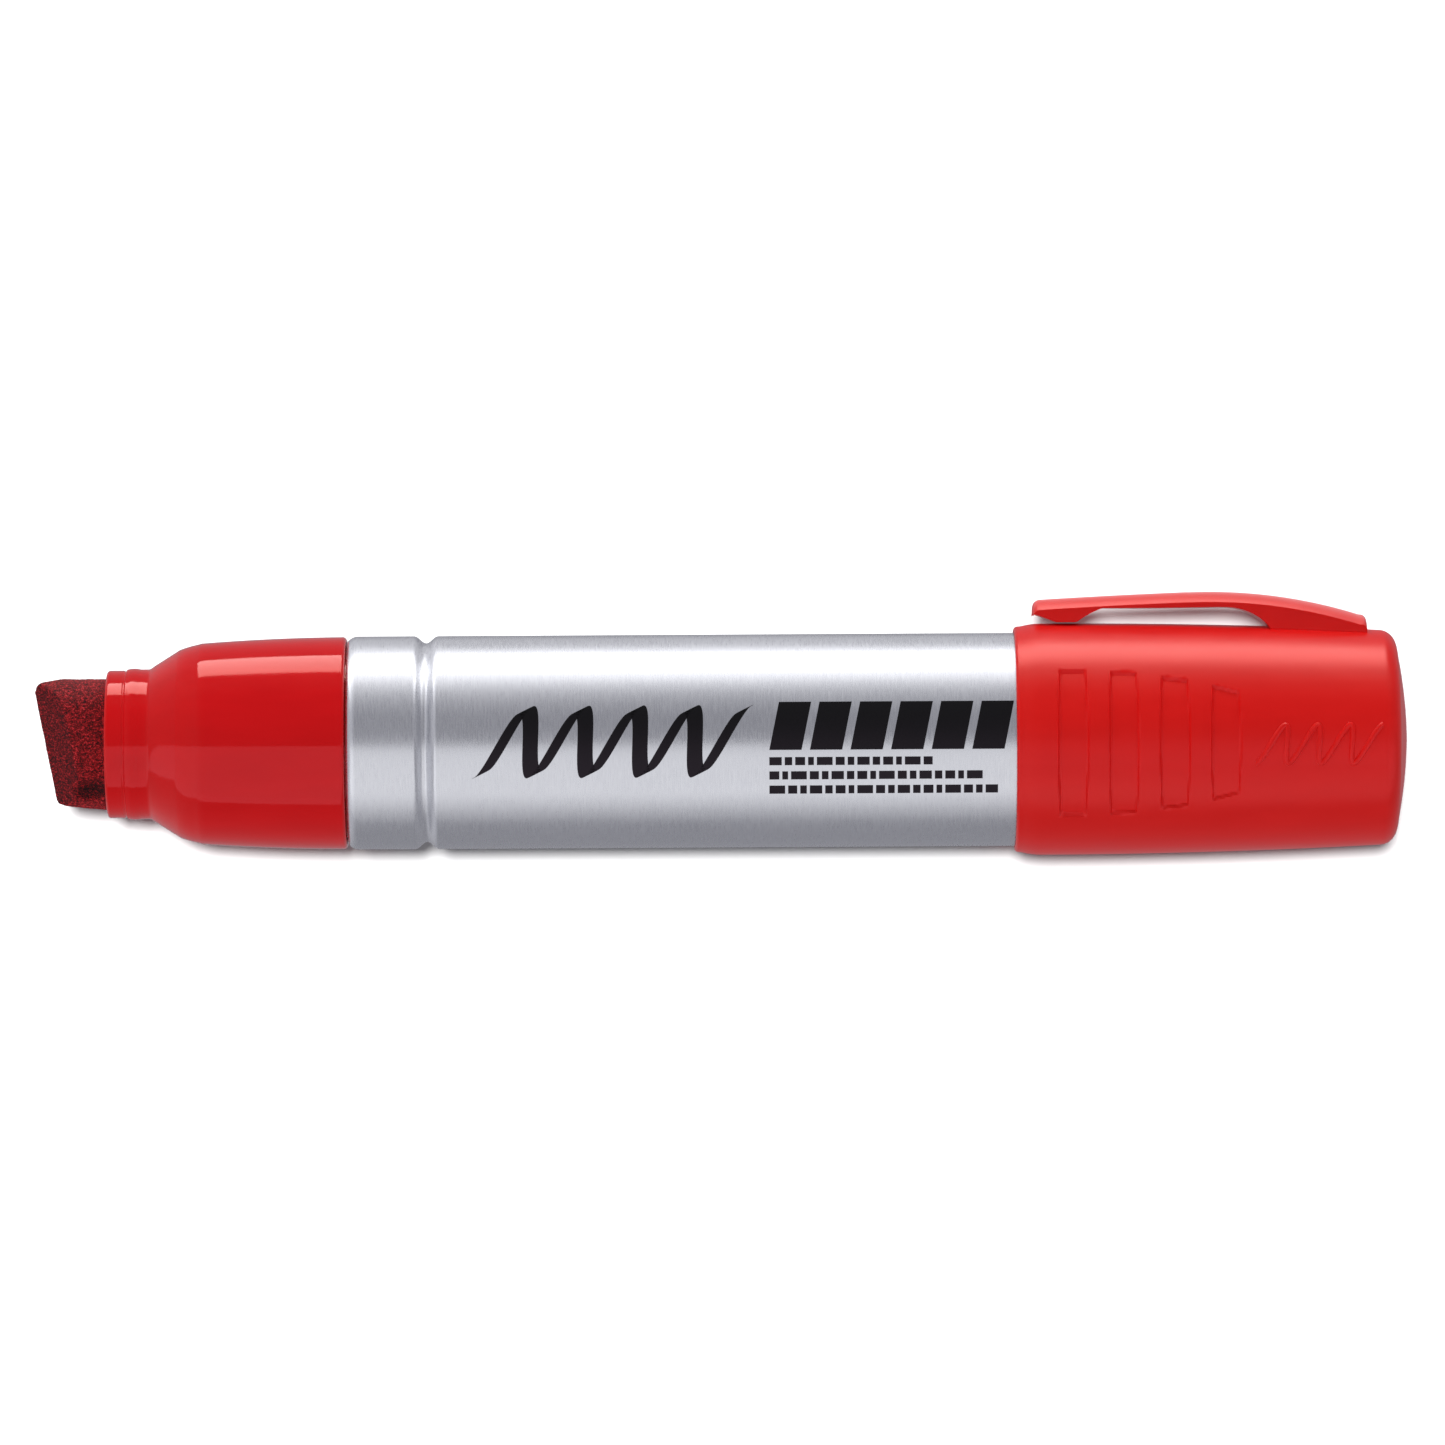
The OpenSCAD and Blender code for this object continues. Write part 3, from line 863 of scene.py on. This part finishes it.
# %% Red polypropylene
def red_plastic(name, colour, roughness, inside):
    """Red polypropylene; inside says how much light enters it."""
    material, tree, shader = start_material(name)
    flow = grain(tree, (9, 3, 3), 2)
    skin = grain(tree, (0.12, 0.12, 0.12), 2)
    shader.inputs["IOR"].default_value = 1.49
    shader.inputs["Specular Tint"].default_value = linear("#FFB0A2")
    shader.inputs["Subsurface Weight"].default_value = inside
    shader.inputs["Subsurface Scale"].default_value = 0.9 * MM
    shader.inputs["Subsurface Radius"].default_value = (1, 0.25, 0.15)
    deep, pale = colour
    tree.links.new(ramp(tree, flow, [(0.3, deep), (0.7, pale)]), shader.inputs["Base Color"])
    tree.links.new(spread(tree, flow, roughness, roughness + 0.05), shader.inputs["Roughness"])
    waves = bump(tree, flow, 0.006, 0.3)
    tree.links.new(bump(tree, skin, 0.0015, 0.4, waves), shader.inputs["Normal"])
    return material


nose_red = red_plastic("red_polypropylene_nose", ("#DE0A12", "#E40C14"), 0.06, 0.03)
cap_red = red_plastic("red_polypropylene_cap", ("#E41210", "#E81412"), 0.29, 0.05)
wear(nose_red, nose)
wear(cap_red, cap, clip, cap_mark)

# %% [markdown]
# ### Inked felt
# The nib is pressed felt soaked with red ink: a matt mat of short fibres. Wet fibres near the
# surface catch red light and the pores between them are almost black, so it reads as a fine
# dark speckle. Painted shade darkens the faces that turn towards the nib's front end, such as
# the bevels, and the pressed hollow. Sheen gives the fibre ends their faint glow.

# %% Inked felt
felt, tree, shader = start_material("inked_felt")
tufts = grain(tree, (0.34, 0.24, 0.24), 4, 0.75)
pores = grain(tree, (0.13, 0.13, 0.13), 3, 0.7)
blend = add_node(tree, "ShaderNodeMath", {"operation": "MULTIPLY_ADD"},
                 {1: 0.5, 2: 0.0}, {0: tufts})
mixed = add_node(tree, "ShaderNodeMath", {"operation": "MULTIPLY_ADD"},
                 {1: 0.5}, {0: pores, 2: blend.outputs["Value"]})
where = add_node(tree, "ShaderNodeTexCoord")
facing = add_node(tree, "ShaderNodeSeparateXYZ", links={0: where.outputs["Normal"]})
# Painted shade: faces turned towards -X, the bevels and the slanted front, are darkened.
bevel = add_node(tree, "ShaderNodeMapRange",
                 values={"From Min": -0.25, "From Max": -0.55, "To Min": 0, "To Max": -0.026},
                 links={"Value": facing.outputs["X"]})
# Painted shade in the pressed hollow, weighted by its vertex group.
dent = add_node(tree, "ShaderNodeAttribute", {"attribute_name": "hollow"})
painted_shade = add_node(tree, "ShaderNodeMath", {"operation": "MULTIPLY_ADD"}, {1: -0.07},
                 {0: dent.outputs["Fac"], 2: bevel.outputs["Result"]})
fibres_and_shade = add_node(tree, "ShaderNodeMath", {"operation": "ADD"},
                  links={0: mixed.outputs["Value"], 1: painted_shade.outputs["Value"]})
speckle_and_shade = ramp(tree, fibres_and_shade.outputs["Value"],
               [(0.42, "#100103"), (0.47, "#52060A"), (0.53, "#A80E16"), (0.60, "#FF464C")])
tree.links.new(speckle_and_shade, shader.inputs["Base Color"])
shader.inputs["Roughness"].default_value = 0.85
shader.inputs["Sheen Weight"].default_value = 0.25
shader.inputs["Sheen Tint"].default_value = linear("#D8303A")
tree.links.new(bump(tree, mixed.outputs["Value"], 0.25, 0.9), shader.inputs["Normal"])
wear(felt, nib)

# %% [markdown]
# ### The pieces inside
# The filler is a rod of bonded fibre that is soaked with ink, and a clear film is wrapped
# round it. Their shapes are plain on the real marker too, so the frame's own nodes stay and
# only get their finish. The inner cap is natural polyethylene: milky, soft and slightly waxy.

# %% Fibre, film, polyethylene and ink
fibre, tree, shader = start_material("inked_fibre")
strands = grain(tree, (4, 0.18, 0.18), 3)
tree.links.new(ramp(tree, strands, [(0.35, "#5E0F14"), (0.65, "#B02028")]), shader.inputs["Base Color"])
shader.inputs["Roughness"].default_value = 0.8
tree.links.new(bump(tree, strands, 0.1, 0.8), shader.inputs["Normal"])
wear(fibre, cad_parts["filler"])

film_clear, tree, shader = start_material("clear_film")
creases = grain(tree, (6, 1.5, 1.5), 3)
tree.links.new(ramp(tree, creases, [(0.3, "#E6E1DA"), (0.7, "#F4F1EC")]), shader.inputs["Base Color"])
shader.inputs["Transmission Weight"].default_value = 0.9
shader.inputs["Roughness"].default_value = 0.12
tree.links.new(bump(tree, creases, 0.05, 0.4), shader.inputs["Normal"])
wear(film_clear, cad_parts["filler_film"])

milky, tree, shader = start_material("natural_polyethylene")
cloudy = grain(tree, (5, 5, 5), 2)
tree.links.new(ramp(tree, cloudy, [(0.3, "#DAD6CC"), (0.7, "#E8E5DD")]), shader.inputs["Base Color"])
shader.inputs["Subsurface Weight"].default_value = 0.4
shader.inputs["Subsurface Scale"].default_value = 1.2 * MM
shader.inputs["Subsurface Radius"].default_value = (1, 0.9, 0.8)
tree.links.new(spread(tree, cloudy, 0.32, 0.4), shader.inputs["Roughness"])
tree.links.new(bump(tree, grain(tree, (0.15, 0.15, 0.15)), 0.002, 0.4), shader.inputs["Normal"])
wear(milky, inner_cap)

ink, tree, shader = start_material("black_printing_ink")
dots = grain(tree, (0.1, 0.1, 0.1), 3, 0.7)
tree.links.new(ramp(tree, dots, [(0.3, "#030304"), (0.7, "#0A0A0C")]), shader.inputs["Base Color"])
tree.links.new(spread(tree, dots, 0.42, 0.55), shader.inputs["Roughness"])
shader.inputs["Specular IOR Level"].default_value = 0.2
tree.links.new(bump(tree, dots, 0.004, 0.5), shader.inputs["Normal"])
wear(ink, wave_print, block_print)

# %% [markdown]
# ## Fitting the pieces to the frame
# Each piece rides on the body that carries it and stands for its node. The clip is put on no
# body: it stays where it was drawn in the frame, and the frame's clip is hidden. Most pieces get
# weighted normals, which keep broad faces calm. The cap and its mark have small, even faces and
# are only shaded smooth.

# %% Fit the pieces
for piece in (can, wave_print, block_print, nose, nib, clip, inner_cap):
    even_shading(piece)
for piece in (cap, cap_mark):
    smooth(piece)
fit(can, "marker", "brushed_can", "barrel")
fit(wave_print, "marker", "brushed_can")
fit(block_print, "marker", "brushed_can")
fit(nose, "marker", "red_plastic", "nose")
fit(nib, "marker", "inked_felt", "nib")
fit(cap, "cap", "red_plastic", "cap")
fit(cap_mark, "cap", "red_plastic")
fit(inner_cap, "cap_core", "pale_plastic", "inner_cap")
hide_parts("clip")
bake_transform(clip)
print("clip", len(clip.data.polygons), "faces")

# %% [markdown]
# ## Floor and light
# The marker lies on a plain pale table. The floor shows only to the camera: it takes the
# marker's soft shadow from a sun that shines on the floor alone, and isn't mirrored in the can.

# %% Floor
floor_z = min(cad_low.z, -cap_r * MM)
bpy.ops.object.select_all(action="DESELECT")
bpy.ops.mesh.primitive_plane_add(size=30, location=(0, 0, floor_z))
floor = bpy.context.object
floor.name = "floor"
for ray in ("visible_glossy", "visible_diffuse", "visible_shadow", "visible_transmission"):
    setattr(floor, ray, False)
table, tree, shader = start_material("white_table")
shader.inputs["Base Color"].default_value = linear("#B4B4B4")
shader.inputs["Roughness"].default_value = 1
shader.inputs["Specular IOR Level"].default_value = 0
wear(table, floor)
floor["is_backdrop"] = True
print("floor is", round(-floor_z / MM, 1), "mm under the marker's axis")


# %% Sun for the floor's soft shadow
def light_only(light, name, *pieces):
    """Lets a light shine on these pieces alone."""
    group = bpy.data.collections.new(name)
    for piece in pieces:
        group.objects.link(piece)
    light.light_linking.receiver_collection = group


bpy.ops.object.light_add(type="SUN", location=(0, 0, 1))
sun = bpy.context.object
sun.name = "floor_sun"
sun.data.energy = 9
sun.data.angle = math.radians(9)
sun.rotation_euler = (math.radians(-5.2), math.radians(-3), 0)
light_only(sun, "lit_by_sun", floor)
print("the sun shines on", floor.name, "alone")

# %% [markdown]
# ### Panels round the marker
# A shiny cylinder shows a studio as bands, and where a band lies tells where its light stands.
# So every light here is a long panel, parallel to the marker and a metre from it, given by the
# angles that it covers: 0 degrees is straight above and 90 is the clip's side. Gloss and body
# colour are lit apart, as a retoucher would balance them: some panels only make reflections,
# others only light the colour itself.


# %% Panel helper
panel_far = 1.0


def panel(name, start, end, radiance, pieces, gloss=True, length=1.1, colour="#FFFFFF"):
    """A long softbox that covers the angles from start to end, as bright as radiance."""
    middle = math.radians((start + end) / 2)
    width = 2 * panel_far * math.tan(math.radians(abs(end - start)) / 2)
    where = (0, panel_far * math.sin(middle), panel_far * math.cos(middle))
    bpy.ops.object.light_add(type="AREA", location=where, rotation=(-middle, 0, 0))
    light = bpy.context.object
    light.name = name
    light.data.shape = "RECTANGLE"
    light.data.size = length
    light.data.size_y = width
    light.data.energy = radiance * math.pi * length * width
    light.data.color = linear(colour)[:3]
    light.visible_camera = False
    light.visible_glossy = gloss
    light.visible_diffuse = not gloss
    light_only(light, "lit_by_" + name, *pieces)


# %% Light the marker
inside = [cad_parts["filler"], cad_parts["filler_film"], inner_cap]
plastic = [nose, cap, clip, cap_mark, wave_print, block_print]
coloured = plastic + [nib] + inside
panel("strip", 84, 111, 6.2, plastic + [nib] + inside, length=0.8)
panel("key", 62, 92, 2.3, coloured, gloss=False, length=2)
panel("fill", -68, -42, 1.35, coloured, gloss=False, length=2)
panel("overhead", -70, -3, 1.1, plastic, length=6, colour="#FFDCFF")
panel("cap_key", 45, 80, 0.35, [cap, clip, cap_mark], gloss=False, length=2)
panel("clip_back", 112, 160, 0.9, [clip])
can_bands = [(-48, -3.2, 0.56), (-64, -48, 0.60), (-77, -64, 0.42), (-92, -77, 0.20), (34, 46, 0.08),
             (46, 57, 0.20), (57, 68, 0.46), (68, 80, 0.95), (80, 88, 1.5), (88, 110, 1.9),
             (110, 120, 0.85), (120, 152, 0.28)]
for number, (start, end, radiance) in enumerate(can_bands):
    panel(f"can_band_{number}", start, end, radiance, [can], length=2.4)
print(sum(1 for thing in bpy.data.lights if thing.type == "AREA"), "panels stand round the marker")

# %% Dim studio room
world = bpy.data.worlds.new("studio")
bpy.context.scene.world = world
world.use_nodes = True
sky = world.node_tree
where = add_node(sky, "ShaderNodeTexCoord")
split = add_node(sky, "ShaderNodeSeparateXYZ", links={0: where.outputs["Generated"]})
ends = add_node(sky, "ShaderNodeMapRange", values={"From Min": -1, "From Max": 1},
                links={"Value": split.outputs["X"]})
room = ramp(sky, ends.outputs["Result"], [(0.0, "#C0C0C6"), (0.25, "#C4C4CA"), (0.42, "#9A9AA0"),
            (0.62, "#98989E"), (0.85, "#A4A4AA"), (1.0, "#A8A8AE")])
sky.links.new(room, sky.nodes["Background"].inputs["Color"])
sky.nodes["Background"].inputs["Strength"].default_value = 1
print("the room has", len(sky.nodes), "nodes")

# %% [markdown]
# ## Camera
# The camera hangs 1.2 m above the marker with a long lens, turned a third of a degree, so the
# marker lies almost square in the picture with its nib to the left.

# %% Camera
camera_height = 1.2
image_width = 1445
mm_per_dot = 0.122
sensor_width = 36
bpy.ops.object.camera_add(location=(-0.5 * MM, 2.25 * MM, camera_height),
                          rotation=(0, 0, math.radians(-0.325)))
camera = bpy.context.object
camera.data.sensor_width = sensor_width
camera.data.lens = sensor_width * camera_height / (image_width * mm_per_dot * MM)
camera.data.clip_start = 0.05
camera.data.clip_end = 100
bpy.context.scene.camera = camera
bpy.context.scene.view_settings.view_transform = "Standard"
print("lens", round(camera.data.lens), "mm at", camera_height, "m")

# %% Finish
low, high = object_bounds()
